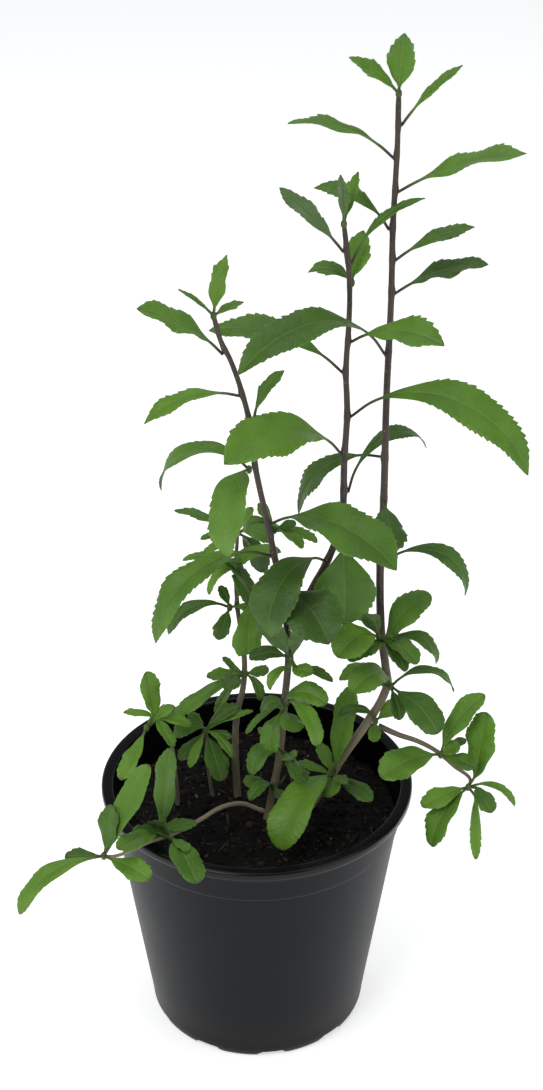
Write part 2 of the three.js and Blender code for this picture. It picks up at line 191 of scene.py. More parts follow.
# %% [markdown]
# The floor is a wide pale sheet, and the surroundings are an even pale grey, as in a light tent.
# That matters most for the black pot: a dark glossy thing shows mostly what stands round it, so its
# sides brighten towards their edges because they mirror the white tent. One large softbox from the
# upper left gives the leaves their light side, and a weaker one on the right opens the shadows.

# %% Floor, surroundings and softboxes
floor_glow = 0.55  # the sheet is lit from below as well, as on a product table
floor_half = 6.0  # m
plant_middle = (0, 0, 0.25)
tent_strength = 0.75


def make_floor():
    mesh = bpy.data.meshes.new("floor")
    corners = [(x * floor_half, y * floor_half, 0) for x, y in ((-1, -1), (1, -1), (1, 1), (-1, 1))]
    mesh.from_pydata(corners, [], [(0, 1, 2, 3)])
    floor = add_object("floor", mesh)
    material, tree, shader = new_material(
        "matt_white_floor_card", Roughness=0.9,
        Emission_Color="#ffffff", Emission_Strength=floor_glow)
    grain = add_node(tree, "TexNoise", {"Scale": 40.0, "Detail": 4.0})
    set_inputs(tree, shader, {"Base Color": blend(tree, grain, "#efeff0", "#f4f4f4")})
    mesh.materials.append(material)
    floor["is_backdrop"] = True


def add_softbox(name, place, size, watts):
    light = bpy.data.lights.new(name, "AREA")
    light.shape = "SQUARE"
    light.size = size
    light.energy = watts
    box = add_object(name, light)
    box.location = place
    aim = Vector(plant_middle) - Vector(place)
    box.rotation_euler = aim.to_track_quat("-Z", "Y").to_euler()


make_floor()
add_softbox("key_softbox", (-1.1, -1.3, 2.0), 1.4, 26)
add_softbox("fill_softbox", (1.6, -1.0, 1.3), 1.4, 9)
add_softbox("top_softbox", (0.1, 0.6, 2.2), 1.6, 15)

world = bpy.data.worlds.new("light_tent")
bpy.context.scene.world = world
world.use_nodes = True
sky = world.node_tree
height = add_node(sky, "SeparateXYZ", {0: add_node(sky, "TexCoord")}).outputs["Z"]
tent = add_ramp(sky, height, [(0.1, "#f4f5f6"), (0.6, "#7c8084")])
set_inputs(sky, sky.nodes["Background"], {"Color": tent, "Strength": tent_strength})
bpy.context.scene.view_settings.view_transform = "Standard"

# %% [markdown]
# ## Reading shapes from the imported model
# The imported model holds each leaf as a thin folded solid: a row of four-cornered rings that ends in
# one point, the leaf's tip. Each stem is a row of six-cornered rings. If we walk over such a mesh
# from its end, one layer of neighbouring corners at a time, each layer is one ring. So the midrib of
# a leaf, or the centre line of a stem, can be read back from the solid itself, and nothing has to be
# measured twice. The first step is to weld doubled corners, since an imported mesh splits them.

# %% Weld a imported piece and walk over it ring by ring
weld_size = 0.01 * mm


def welded(node):
    """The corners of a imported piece, with doubles merged, and the set of neighbours of each."""
    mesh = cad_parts[node].data
    order = {}
    index = [order.setdefault(tuple(round(c / weld_size) for c in vertex.co), len(order))
             for vertex in mesh.vertices]
    corners = np.zeros((len(order), 3))
    corners[index] = [tuple(v.co) for v in mesh.vertices]
    links = [set() for _ in corners]
    for edge in mesh.edges:
        a, b = (index[end] for end in edge.vertices)
        if a != b:
            links[a].add(b)
            links[b].add(a)
    return corners, links


def walk_rings(first, seen, links):
    """Rings of corners that follow on from a first ring, as long as they have as many corners."""
    rings = []
    layer = set(first)
    seen = set(seen) | layer
    while len(layer) == len(first):
        rings.append(sorted(layer))
        layer = {near for corner in layer for near in links[corner]} - seen
        seen |= layer
    return rings


def unit(vector):
    return vector / np.linalg.norm(vector)


def length_of(points):
    """The length of the line through a row of points."""
    return np.linalg.norm(np.diff(points, axis=0), axis=1).sum()


corners, links = welded("leaf_tall_1")
print("corners in one packed leaf:", len(corners))

# %% [markdown]
# In every ring of a leaf, the two corners that are furthest apart are the leaf's edges, and the other
# two are the upper and lower side of its midrib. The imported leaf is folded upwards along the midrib,
# so the edges also tell which face is the upper one. Where leaves share a bud they are merged near
# it, and the walk stops there. The full width can still be worked out from the widest ring that is
# left, because every leaf has the same outline and its rings stand at known shares of its length.
# The stalk, the widest place and the first tooth are shares of a length, too. The teeth's pitch and
# depth are lengths, since teeth are as large on a narrow leaf as on a broad one.

# %% Outlines of the two kinds of leaf
leaf_kinds = {
    "long": {"rings": [0, 0.12, 0.24, 0.4, 0.57, 0.74, 0.89],
             "stalk": 0.16, "widest": 0.58, "taper": 2.2,
             "pitch": 3.7 * mm, "depth": 0.66 * mm, "first_tooth": 0.26, "frill": 0.15},
    "small": {"rings": [0, 0.16, 0.36, 0.58, 0.79, 0.93],
              "stalk": 0.12, "widest": 0.62, "taper": 1.5,
              "pitch": 3.6 * mm, "depth": 0.34 * mm, "first_tooth": 0.42, "frill": 0.14},
}
leaf_kinds["young"] = dict(
    leaf_kinds["small"], widest=0.5, taper=1.9, depth=0.5 * mm, first_tooth=0.3)
packed_fold = math.radians(14)


def blade_outline(share, kind):
    """Half-width of a blade from its foot to its tip, as a share of its greatest half-width."""
    share = np.clip(share, 0, 1)
    rise = (share / kind["widest"]) ** (kind["widest"] * kind["taper"])
    return rise * ((1 - share) / (1 - kind["widest"])) ** ((1 - kind["widest"]) * kind["taper"])


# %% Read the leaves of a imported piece
bud_span = 3.2 * mm  # a ring wider than this next to the bud isn't part of a leaf stalk
ring_growth = 1.15  # nor is one that is this much wider than the ring before it
tip_side_rings = 3  # the widest ring is one of the three nearest the tip


def read_leaves(node):
    """Each leaf's midrib from stem to tip, its sideways direction, its upper side and its width."""
    kind = leaf_kinds["long" if node.startswith("leaf") else "small"]
    corners, links = welded(node)
    leaves = []
    used = set()
    for tip, near in enumerate(links):
        rings = walk_rings(near, {tip}, links) if len(near) == 4 else []
        if len(rings) < 2:
            continue
        shapes = [corners[ring] for ring in rings[:len(kind["rings"])]]
        spans = [max(np.linalg.norm(a - b) for a in ring for b in ring) for ring in shapes]
        widest = int(np.argmax(spans[:tip_side_rings]))
        keep = widest + 1
        while keep < len(spans) and spans[keep] < max(spans[keep - 1] * ring_growth, bud_span):
            keep += 1
        used |= {tip}.union(*rings[:keep])
        share = (kind["rings"][-1 - widest] - kind["stalk"]) / (1 - kind["stalk"])
        width = spans[widest] / blade_outline(share, kind) / math.cos(packed_fold)
        ring = shapes[widest]
        _, left, right = max((np.linalg.norm(a - b), i, j)
                             for i, a in enumerate(ring) for j, b in enumerate(ring))
        side = unit(ring[right] - ring[left])
        midrib = [corners[tip]]
        lift = np.zeros(3)
        for shape in shapes[:keep]:
            by_side = shape[np.argsort(shape @ side)]
            midrib.append((by_side[1] + by_side[2]) / 2)
            lift += (by_side[0] + by_side[3]) / 2 - midrib[-1]
        leaves.append({
            "midrib": np.array(midrib[::-1]), "side": side, "up": unit(lift), "width": width})
    spare = [corners[i] for i in range(len(corners)) if i not in used]
    heart = (np.min(spare, axis=0) + np.max(spare, axis=0)) / 2 if spare else None
    return leaves, heart


leaf_nodes = sorted(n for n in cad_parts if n.startswith("leaf_"))
tuft_nodes = sorted(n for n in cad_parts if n.startswith("tuft_"))
leaf_plans = {node: read_leaves(node) for node in leaf_nodes + tuft_nodes}
print("leaves read:", sum(len(leaves) for leaves, _ in leaf_plans.values()))
for node in tuft_nodes:
    print("  ", node, len(leaf_plans[node][0]))

# %% [markdown]
# A stem has no tip, but it has flat ends. So we start at each face in turn and gather the corners
# that lie in its plane and are joined to it. If there are six of them, and the walk from there takes
# in every corner of the mesh, then they are the stem's end ring. The stem is turned foot first.

# %% Read the centre line and thickness of a packed stem
stem_sides = 6
plane_play = 0.02 * mm


def flat_patch(face, corners, links):
    """The corners that lie in a face's plane and are joined to it through that plane."""
    a, b, c = (corners[corner] for corner in face)
    normal = unit(np.cross(b - a, c - a))
    flat = set(face)
    edge = list(face)
    while edge:
        for near in links[edge.pop()] - flat:
            if abs(normal @ (corners[near] - a)) < plane_play:
                flat.add(near)
                edge.append(near)
    return flat


def read_stem(node):
    """Centres and radii of a packed stem's rings, from its foot to its upper end."""
    corners, links = welded(node)
    for a, near in enumerate(links):
        for b in near:
            for c in near & links[b]:
                patch = flat_patch((a, b, c), corners, links)
                rings = walk_rings(patch, (), links) if len(patch) == stem_sides else []
                if len(rings) * stem_sides != len(corners):
                    continue
                shapes = [corners[ring] for ring in rings]
                centres = np.array([shape.mean(axis=0) for shape in shapes])
                radii = [np.linalg.norm(s - c, axis=1).mean() for s, c in zip(shapes, centres)]
                if radii[0] < radii[-1]:
                    return centres[::-1], np.array(radii[::-1])
                return centres, np.array(radii)
    raise ValueError(f"{node} isn't a row of rings")


stem_nodes = ["stem_tall", "stem_left", "stem_middle", "stem_back", "runner", "branch_right",
              "shoot_left", "shoot_small", "cut_stub"]
stem_plans = {node: read_stem(node) for node in stem_nodes}
for node, (centres, radii) in stem_plans.items():
    foot, end = (2 * radius / mm for radius in radii[[0, -1]])
    print(f"{node}: {length_of(centres) / mm:.0f} mm long, {foot:.1f} to {end:.1f} mm thick")

# %% [markdown]
# Leaves and stems are curved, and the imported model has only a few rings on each. One function draws
# a smooth curve through the rings and reads it at as many places as we like. It works for places,
# directions and thicknesses alike, because it treats all of them as columns of numbers.

# %% Smooth curve through a row of values
def marks_along(points):
    """The share of a line's length at each of its points, from 0 to 1."""
    steps = np.linalg.norm(np.diff(points, axis=0), axis=1)
    return np.concatenate([[0], np.cumsum(steps)]) / steps.sum()


def smooth_values(marks, values, places):
    """Values read at places between the marks, along a curve with no corners."""
    values = np.asarray(values, float)
    slopes = np.gradient(values, marks, axis=0)
    part = np.clip(np.searchsorted(marks, places, side="right") - 1, 0, len(marks) - 2)
    span = marks[part + 1] - marks[part]
    t = (np.asarray(places) - marks[part]) / span
    if values.ndim > 1:
        t, span = t[:, None], span[:, None]
    return (
        (2 * t**3 - 3 * t**2 + 1) * values[part] + (t**3 - 2 * t**2 + t) * span * slopes[part]
        + (3 * t**2 - 2 * t**3) * values[part + 1] + (t**3 - t**2) * span * slopes[part + 1]
    )


def unit_rows(rows):
    return rows / np.linalg.norm(rows, axis=1)[:, None]


print("half way between 0, 1 and 4:", smooth_values(np.array([0, 0.5, 1]), [0, 1, 4], [0.25, 0.75]))

# %% [markdown]
# ## Finishes of the plant
# A leaf has no flat colour. Its blade is a lively green with paler veins, the lower face is greyer,
# and the stalk is purple-brown where it leaves the stem. The pattern can't come from places in
# space, since every leaf points another way. So the leaf builder further down stores, at each point
# of the mesh, how many millimetres it is along and across its own leaf, and the shader reads those
# numbers. Side veins leave the midrib about every 6 mm and slant forwards.
#
# A leaf's skin is a waxy cuticle over a soft, slightly see-through body. That gives a broad satin
# shine, and a little light scattered inside, which keeps the shaded side from going black.

# %% Leaf blade finish
vein_spacing = {"mature_leaf_blade": 6.0, "young_leaf_blade": 4.4}  # mm, along the midrib
vein_slant = 1.05  # mm forwards for each mm outwards
vein_width = 0.5  # mm, drawn a little wider than real side veins so that they show
vein_wander = 1.2  # mm
patches_per_m, pillows_per_m, specks_per_m = 55.0, 260.0, 900.0
vein_green = "#6f9440"
vein_strength = 0.24


def leaf_material(name, bright, middle, deep, under, stalk):
    material, tree, shader = new_material(
        name, Roughness=0.46, IOR=1.42, Subsurface_Weight=0.12, Subsurface_Scale=0.0012,
        Subsurface_Radius=(0.5, 1.0, 0.25))
    along, across, tone, below, stalkness = (
        add_node(tree, "Attribute", attribute_name=stored).outputs["Fac"]
        for stored in ("along_mm", "across_mm", "leaf_tone", "lower_face", "stalkness"))
    place = add_node(tree, "NewGeometry")
    patches = add_noise(tree, place, patches_per_m, 3.0)
    specks = add_noise(tree, place, specks_per_m, 2.0)
    shade = maths(tree, "MULTIPLY_ADD", patches, 0.55, tone)
    greens = add_ramp(tree, shade, [(0.25, deep), (0.62, middle), (1.0, bright)])

    outwards = maths(tree, "ABSOLUTE", across)
    wander = maths(tree, "MULTIPLY_ADD", specks, vein_wander, along)
    slant = maths(tree, "MULTIPLY_ADD", outwards, -vein_slant, wander)
    comb = maths(tree, "PINGPONG", slant, vein_spacing[name] / 2)
    side_veins = remap(tree, comb, (0.1, vein_width), (0.3, 0.0))
    midrib = remap(tree, outwards, (0.3, 0.75), (1.0, 0.0))
    veins = maths(tree, "MAXIMUM", side_veins, midrib)
    faint = maths(tree, "MULTIPLY", veins, vein_strength)
    speckled = blend(tree, 0.22, blend(tree, faint, greens, vein_green), specks.outputs["Color"])
    speckled.blend_type = "SOFT_LIGHT"
    colour = blend(tree, stalkness, blend(tree, below, speckled, under), stalk)

    sheen = remap(tree, specks, (0.3, 0.7), (0.4, 0.54))
    quilt = add_noise(tree, place, pillows_per_m, 1.5)
    raised = maths(tree, "MULTIPLY_ADD", quilt, 1.6, specks)
    relief = maths(tree, "MULTIPLY_ADD", veins, -0.9, raised)
    bump = add_bump(tree, relief, 0.5, 0.6 * mm)
    set_inputs(tree, shader, {"Base Color": colour, "Roughness": sheen, "Normal": bump})
    return material


mature_leaf = leaf_material(
    "mature_leaf_blade", "#658f25", "#486e1b", "#2e4a11", "#4f6838", "#392c25")
young_leaf = leaf_material(
    "young_leaf_blade", "#658f27", "#49701c", "#2f4c13", "#506a3a", "#3e4425")
print("leaf finishes:", mature_leaf.name, young_leaf.name)

# %% [markdown]
# Bark differs along a stem: this year's shoots are smooth, thin-skinned and purple-brown, the base
# is paler and ridged, and a runner that has grown over the pot is pale tan. All of them are one
# recipe in different colours, which turns to its old colour in patches towards the soil. The stem
# builder stores where each point would be if the stem were straight, so the noise can be stretched
# along the stem however it bends. The ridges are about half a millimetre wide and ten times as
# long, with a few small pale pores between them.

# %% Bark finishes
ridge_width = 0.5  # mm
ridge_stretch = 10  # how many times as long as wide a ridge is
pore_gap = 3.2  # mm between the pale pores
old_bark_low, old_bark_high = 0.15, 0.25  # m above the ground, where old bark gives way to young
pore_tan = "#a09480"


def bark_material(name, light, middle, dark, old, roughness, relief):
    material, tree, shader = new_material(name, Roughness=roughness, IOR=1.45)
    height = add_node(tree, "SeparateXYZ", {0: add_node(tree, "NewGeometry")}).outputs["Z"]
    place = add_node(tree, "Attribute", attribute_name="bark_place_mm").outputs["Vector"]
    across = 1 / ridge_width
    stretched = add_node(tree, "Mapping", {
        "Vector": place, "Scale": (across, across, across / ridge_stretch)})
    ridges = add_noise(tree, stretched, 1.0, 4.0, 0.6)
    mixed = maths(tree, "ADD", ridges, add_noise(tree, place, 0.06, 3.0))
    young = add_ramp(tree, mixed, [(0.72, dark), (0.95, middle), (1.0, light)])
    age = remap(tree, height, (old_bark_low, old_bark_high), (0.85, 0.0))
    share = maths(tree, "MULTIPLY", maths(tree, "MULTIPLY_ADD", age, ridges, age), 0.68)
    share.use_clamp = True
    pores = add_node(tree, "TexVoronoi", {"Vector": place, "Scale": 1 / pore_gap})
    pore = remap(tree, pores, (0.08, 0.15), (0.55, 0.0))
    colour = blend(tree, pore, blend(tree, share, young, old), pore_tan)
    bump = add_bump(tree, ridges, relief, 0.4 * mm)
    set_inputs(tree, shader, {"Base Color": colour, "Normal": bump})
    return material


purple = ("#43382f", "#312823", "#201a18")
woody = ("#6b6851", "#524f40", "#38342b")
pale_tan = ("#989078", "#7d7560", "#585142")
purple_bark = bark_material("purple_brown_bark", *purple, "#7f765f", 0.5, 0.35)
woody_bark = bark_material("grey_brown_woody_bark", *woody, "#77725c", 0.72, 0.7)
pale_bark = bark_material("pale_tan_runner_bark", *pale_tan, "#8c8469", 0.7, 0.6)
tan_foot_bark = bark_material("purple_brown_bark_with_tan_foot", *purple, "#9d9174", 0.5, 0.35)
stem_finishes = {
    "stem_tall": (tan_foot_bark, "purple_stem"), "stem_back": (woody_bark, "woody_stem"),
    "shoot_left": (woody_bark, "woody_stem"), "shoot_small": (woody_bark, "woody_stem"),
    "runner": (pale_bark, "pale_stem"), "cut_stub": (pale_bark, "pale_stem")}
print("bark finishes:", sorted({bark.name for bark, _ in stem_finishes.values()} | {purple_bark.name}))

# %% [markdown]
# ## One good leaf
# The leaf of this shrub is a long blade that narrows into its stalk. The lower part of its edge is
# smooth, and the upper part has small teeth that point to the tip. A leaf cut out of a flat card would
# be cheap, but it would look right from one side only. We build the blade as a thin closed loft
# instead: rings of points across the leaf, each with an upper and a lower row. There are four rings
# to a tooth, so that each tooth has its own point and notch.

# %% Outline and teeth of a leaf
rings_per_tooth = 4
tooth_steps = np.array([-0.5, 0.05, 0.6, 1.0])  # from one notch up to the tooth's point
plain_ring_gap = 1.5 * mm
last_ring = 0.988  # of the leaf's length, just before its tip
teeth_start, teeth_end = 0.08, 0.14  # shares of the length over which teeth grow in and fade out


def leaf_stations(length, kind, rng):
    """Ring places along a leaf, and how far each of its two edges stands out at each of them."""
    start = kind["stalk"] + (1 - kind["stalk"]) * kind["first_tooth"]
    plain = np.linspace(0, start, max(5, round(start * length / plain_ring_gap)), endpoint=False)
    teeth = max(3, round((last_ring - start) * length / kind["pitch"]))
    sizes = rng.uniform(0.75, 1.25, teeth) * np.linspace(1.15, 0.8, teeth)
    edges = start + (last_ring - start) * np.concatenate([[0], np.cumsum(sizes)]) / sizes.sum()
    toothed = np.interp(np.arange(teeth * rings_per_tooth + 1) / rings_per_tooth,
                        np.arange(teeth + 1), edges)
    places = np.concatenate([plain, toothed])
    stand_out = []
    for shift in (0, rings_per_tooth // 2):
        step = np.arange(len(toothed)) + shift
        tall = rng.uniform(0.35, 1.5, teeth + 2)[step // rings_per_tooth]
        fade = np.clip((toothed - start) / teeth_start, 0, 1) * np.clip((1 - toothed) / teeth_end, 0, 1)
        teeth_out = tooth_steps[step % rings_per_tooth] * tall * fade
        stand_out.append(np.concatenate([plain * 0, teeth_out]))
    return places, stand_out


places, stand_out = leaf_stations(0.07, leaf_kinds["long"], np.random.default_rng(1))
print("rings on a 70 mm leaf:", len(places))

# %% [markdown]
# Now the loft. Each ring is set square to the midrib. Its half-width comes from the outline and the
# teeth, its two halves are folded up a little from the midrib, and its edges wave up and down, each
# side in its own rhythm. A groove runs along the top of the midrib and a rib along the bottom. In
# the stalk the same ring closes up into a round. The last thing stored is what the shader needs to
# know about each point.
#
# Leaves, buds, stems, the pot and the peat are all rows of rings, closed by a point at each end, so
# the faces of all five come from one function.

# %% Faces over a row of rings
def ring_at(turns, radius, z, x=0, y=0):
    """A level round ring of points."""
    columns = (x + radius * np.cos(turns), y + radius * np.sin(turns), z)
    return np.stack(np.broadcast_arrays(*columns), axis=1)


def loft(rings, first_end, last_end):
    """Points and faces of a closed body: a row of rings with one more point to close each end."""
    count, size = len(rings), len(rings[0])
    points = np.concatenate([np.reshape(rings, (-1, 3)), [first_end], [last_end]])
    index = np.arange(count * size).reshape(count, size)
    after = np.roll(index, -1, axis=1)
    faces = np.stack([index[:-1], after[:-1], after[1:], index[1:]], axis=-1).reshape(-1, 4).tolist()
    faces += [(b, a, count * size) for a, b in zip(index[0], after[0])]
    faces += [(a, b, count * size + 1) for a, b in zip(index[-1], after[-1])]
    return points, faces


# %% Build the points and faces of one leaf
across_top = np.array([-1, -0.93, -0.74, -0.5, -0.26, -0.1, 0, 0.1, 0.26, 0.5, 0.74, 0.93, 1])
across_small = np.array([-1, -0.9, -0.6, -0.28, 0, 0.28, 0.6, 0.9, 1])
blade_thickness = 0.36 * mm
stalk_radius = 0.72 * mm
fold = math.radians(13)
dark_tip = 2.2 * mm  # the tip dries to a small brown point
deepest_tooth = 0.11  # of the half-width, for narrow leaves
tooth_lean = 0.11  # of the distance between teeth; more than this would fold a tooth over the next
most_twist = math.radians(14)
most_sway = 0.012  # of the length
blunt_tip = 0.5 * mm
edge_bow = 0.12  # how far the edges bend back down, as a share of the half-width
rib_width = 0.55 * mm
groove_depth = 0.22 * mm
rib_depth = 0.45 * mm


def leaf_shape(plan, kind, rng, columns):
    """Points, faces and shader values of one leaf, drawn over its packed plan."""
    midrib, width = plan["midrib"], plan["width"]
    marks = marks_along(midrib)
    length = length_of(midrib)
    places, (left_teeth, right_teeth) = leaf_stations(length, kind, rng)
    all_places = np.append(places, 1.0)
    centre = smooth_values(marks, midrib, all_places)
    tangent = unit_rows(np.gradient(centre, axis=0))
    twist = most_twist * rng.uniform(-1, 1) * all_places**2
    side = unit_rows(plan["side"] - (tangent @ plan["side"])[:, None] * tangent)
    face = np.cross(side, tangent)
    face *= np.sign((face @ plan["up"]).sum())
    sway = rng.uniform(-most_sway, most_sway) * length * np.sin(math.pi * all_places**1.5)
    centre = centre + sway[:, None] * side
    turn, tilt = np.cos(twist)[:, None], np.sin(twist)[:, None]
    side, face = side * turn + face * tilt, face * turn - side * tilt

    blade_share = np.clip((places - kind["stalk"]) / (1 - kind["stalk"]), 0, 1)[:, None]
    open_out = np.clip(blade_share * 5, 0, 1)
    open_out = open_out**2 * (3 - 2 * open_out)
    outline = width / 2 * blade_outline(blade_share, kind)
    half = np.maximum(stalk_radius * (1 - 0.25 * blade_share), outline)
    half[-1] = np.maximum(half[-1], blunt_tip)
    u = columns[None, :]
    tooth = np.where(u < 0, left_teeth[:, None], right_teeth[:, None]) * np.abs(u) ** 5
    reach = u * (half + np.minimum(kind["depth"], deepest_tooth * half) * tooth)
    lean = kind["pitch"] * tooth_lean * tooth
    waves = rng.uniform(1.6, 2.6, 2)
    phases = rng.uniform(0, math.tau, 2)
    left_wave, right_wave = (np.sin(math.tau * w * blade_share + p) for w, p in zip(waves, phases))
    frill = kind["frill"] * half * u**2 * np.where(u < 0, left_wave, right_wave)
    bow = -edge_bow * half * u**4
    lift = open_out * (np.abs(reach) * math.tan(fold) + frill + bow)
    round_stalk = stalk_radius * np.sqrt(np.clip(1 - u**2, 0, 1)) * (1 - open_out)
    thin = open_out * blade_thickness / 2 * np.sqrt(np.clip(1 - u**4, 0, 1))
    rib = open_out * np.exp(-((reach / rib_width) ** 2)) * (1 - 0.7 * blade_share)

    def row(height):
        return (centre[:-1, None] + side[:-1, None] * reach[..., None]
                + tangent[:-1, None] * lean[..., None] + face[:-1, None] * height[..., None])

    top = row(lift + round_stalk + thin - groove_depth * rib)
    bottom = row(lift - round_stalk - thin - rib_depth * rib)[:, -2:0:-1]
    rings = np.concatenate([top, bottom], axis=1)
    points, faces = loft(rings, rings[0].mean(axis=0), centre[-1])

    across = np.concatenate([reach, reach[:, -2:0:-1]], axis=1) / mm
    below = np.concatenate([np.zeros(len(columns)), np.ones(len(columns) - 2)])
    below[[0, len(columns) - 1]] = 0.5
    stalkness = np.clip(1 - (places - 0.04) / (kind["stalk"] * 1.3), 0, 1) ** 0.8
    to_tip = (1 - places) * length
    stalkness = np.maximum(stalkness, 0.7 * np.clip(1 - to_tip / dark_tip, 0, 1))

    def stored(rows, foot, tip):
        return np.append(np.broadcast_to(rows, across.shape).ravel(), [foot, tip])

    return points, faces, {
        "along_mm": stored((places * length / mm)[:, None], 0, length / mm),
        "across_mm": stored(across, 0, 0),
        "lower_face": stored(below, 0.5, 0.5),
        "stalkness": stored(stalkness[:, None], 1, 0.8),
        "leaf_tone": np.full(len(points), rng.uniform(0.06, 0.66)),
    }


# %% [markdown]
# Which way round a face runs decides which side of it is outside. Rather than work that out for
# every mirrored and twisted leaf, we build the mesh and let bmesh turn all faces of each closed body
# outwards. Smooth shading is switched on for all faces, but not across sharp edges such as the rim
# of a blade, which would otherwise get a dark line.

# %% Turn shapes into objects
rim_angle = math.radians(75)


def join(name, shapes):
    """The points and faces of several shapes as one mesh."""
    faces = []
    start = 0
    for points, shape_faces, *_ in shapes:
        faces += [tuple(corner + start for corner in face) for face in shape_faces]
        start += len(points)
    mesh = bpy.data.meshes.new(name)
    mesh.from_pydata(np.concatenate([shape[0] for shape in shapes]).tolist(), [], faces)
    return mesh


def finish_faces(mesh, crisp_angle):
    """Turns all faces outwards and smooths the shading, but not across edges that are sharper."""
    body = bmesh.new()
    body.from_mesh(mesh)
    bmesh.ops.recalc_face_normals(body, faces=body.faces)
    for edge in body.edges:
        edge.smooth = edge.calc_face_angle(0) < crisp_angle
    for face in body.faces:
        face.smooth = True
    body.to_mesh(mesh)
    body.free()


def add_piece(name, shapes, material, node):
    """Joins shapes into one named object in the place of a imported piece."""
    mesh = join(name, shapes)
    for value in shapes[0][2]:
        column = np.concatenate([values[value] for _, _, values in shapes]).astype(np.float32)
        kind, key = ("FLOAT_VECTOR", "vector") if column.ndim > 1 else ("FLOAT", "value")
        mesh.attributes.new(value, kind, "POINT").data.foreach_set(key, column.ravel())
    finish_faces(mesh, rim_angle)
    mesh.materials.append(material)
    piece = add_object(name, mesh)
    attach(piece, "root")
    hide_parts(node)


# %% [markdown]
# A single leaf stands at a node of its stem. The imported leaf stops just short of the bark, so its
# stalk is drawn on for 1.5 mm, into the stem. Each leaf has its own seed, which is its place in the
# list, so a leaf keeps its shape however the rest of the file changes.

# %% Single leaves
stalk_root = 1.5 * mm
for seed, node in enumerate(leaf_nodes):
    leaves, _ = leaf_plans[node]
    plan = dict(leaves[0])
    first, second = plan["midrib"][:2]
    plan["midrib"] = np.vstack([first - stalk_root * unit(second - first), plan["midrib"]])
    shape = leaf_shape(plan, leaf_kinds["long"], np.random.default_rng(100 + seed), across_top)
    add_piece(node + "_blade", [shape], mature_leaf, node)
print("single leaves:", len(leaf_nodes))

# %% [markdown]
# A tuft is a short side shoot that hasn't grown out: small spoon-shaped leaves round a bud. All of
# its leaves are one object with the bud. The bud is a small egg of overlapping scales, which is a
# ball of rings whose radius swells in three steps.

# %% Tufts of small leaves
bud_radius = 1.5 * mm
bud_height = 2.4 * mm
bud_levels = np.linspace(-1, 1, 13)[1:-1]
bud_sides = 12
scale_relief = 0.10  # of the bud's radius


def bud_shape(heart, rng):
    """A small upright scaly bud, with the same stored values as a leaf."""
    turns = np.arange(bud_sides) * math.tau / bud_sides
    rings = []
    for level in bud_levels:
        scales = 1 + scale_relief * abs(math.sin(level * 5))
        radius = bud_radius * scales * math.sqrt(1 - level**2)
        rings.append(heart + ring_at(turns + level + math.pi / 2, radius, level * bud_height))
    tip = heart + np.array([0, 0, bud_height])
    points, faces = loft(rings, 2 * heart - tip, tip)
    blank = np.zeros(len(points))
    return points, faces, {
        "along_mm": blank, "across_mm": blank + 2, "lower_face": blank, "stalkness": blank + 0.55,
        "leaf_tone": blank + rng.uniform(0.2, 0.4)}


pointed_tufts = ["tuft_tall_tip", "tuft_left_tip", "tuft_middle_tip", "tuft_middle_1", "tuft_left_6"]
for seed, node in enumerate(tuft_nodes):
    rng = np.random.default_rng(500 + seed)
    leaves, heart = leaf_plans[node]
    kind = leaf_kinds["young" if node in pointed_tufts else "small"]
    shapes = [bud_shape(heart, rng)]
    for plan in leaves:
        plan = dict(plan)
        plan["midrib"] = np.vstack([heart, plan["midrib"]])
        shapes.append(leaf_shape(plan, kind, rng, across_small))
    add_piece(node + "_leaves", shapes, young_leaf, node)
print("tufts:", len(tuft_nodes))

# %% [markdown]
# ## Stems
# A stem is a long thin cone that bends gently, thickens at each node where a leaf leaves it, and has
# a small cushion under every leaf stalk. A curve object with a bevel would give the cone, but not
# the nodes. So the stem is a loft of round rings a millimetre apart, and each ring is swollen by how
# near it is to a leaf's foot. The feet are known from the leaf plans. All stems but the side branch
# stand in the peat, so they are drawn on into it.

# %% Stems with their nodes
leaf_feet = []
for node in leaf_plans:
    leaves, heart = leaf_plans[node]
    leaf_feet += [leaf["midrib"][0] for leaf in leaves] if node in leaf_nodes else [heart]
leaf_feet = np.array(leaf_feet)
buds = [leaf_plans[node][1] for node in tuft_nodes if node.endswith("_tip")]
tip_reach = 7 * mm  # the bud at a stem's end is nearer than this
stem_points = 16
stem_ring_gap = 1.0 * mm
node_swelling = 0.10  # of the stem's radius
node_length = 2.6 * mm
cushion_height = 0.45 * mm
tip_slimming = 0.16  # a shoot tapers fastest near its tip, where it is still growing
foot_flare = 1.08
bud_neck = 0.8  # of the stem's radius, where it runs into the bud at its end
foot_reach = 4.5 * mm  # a leaf further than this from the bark belongs to another stem
most_swelling = 0.6 * mm
wobble_length = 9 * mm
wobble_share = 0.045
end_dome = 0.4  # of the radius


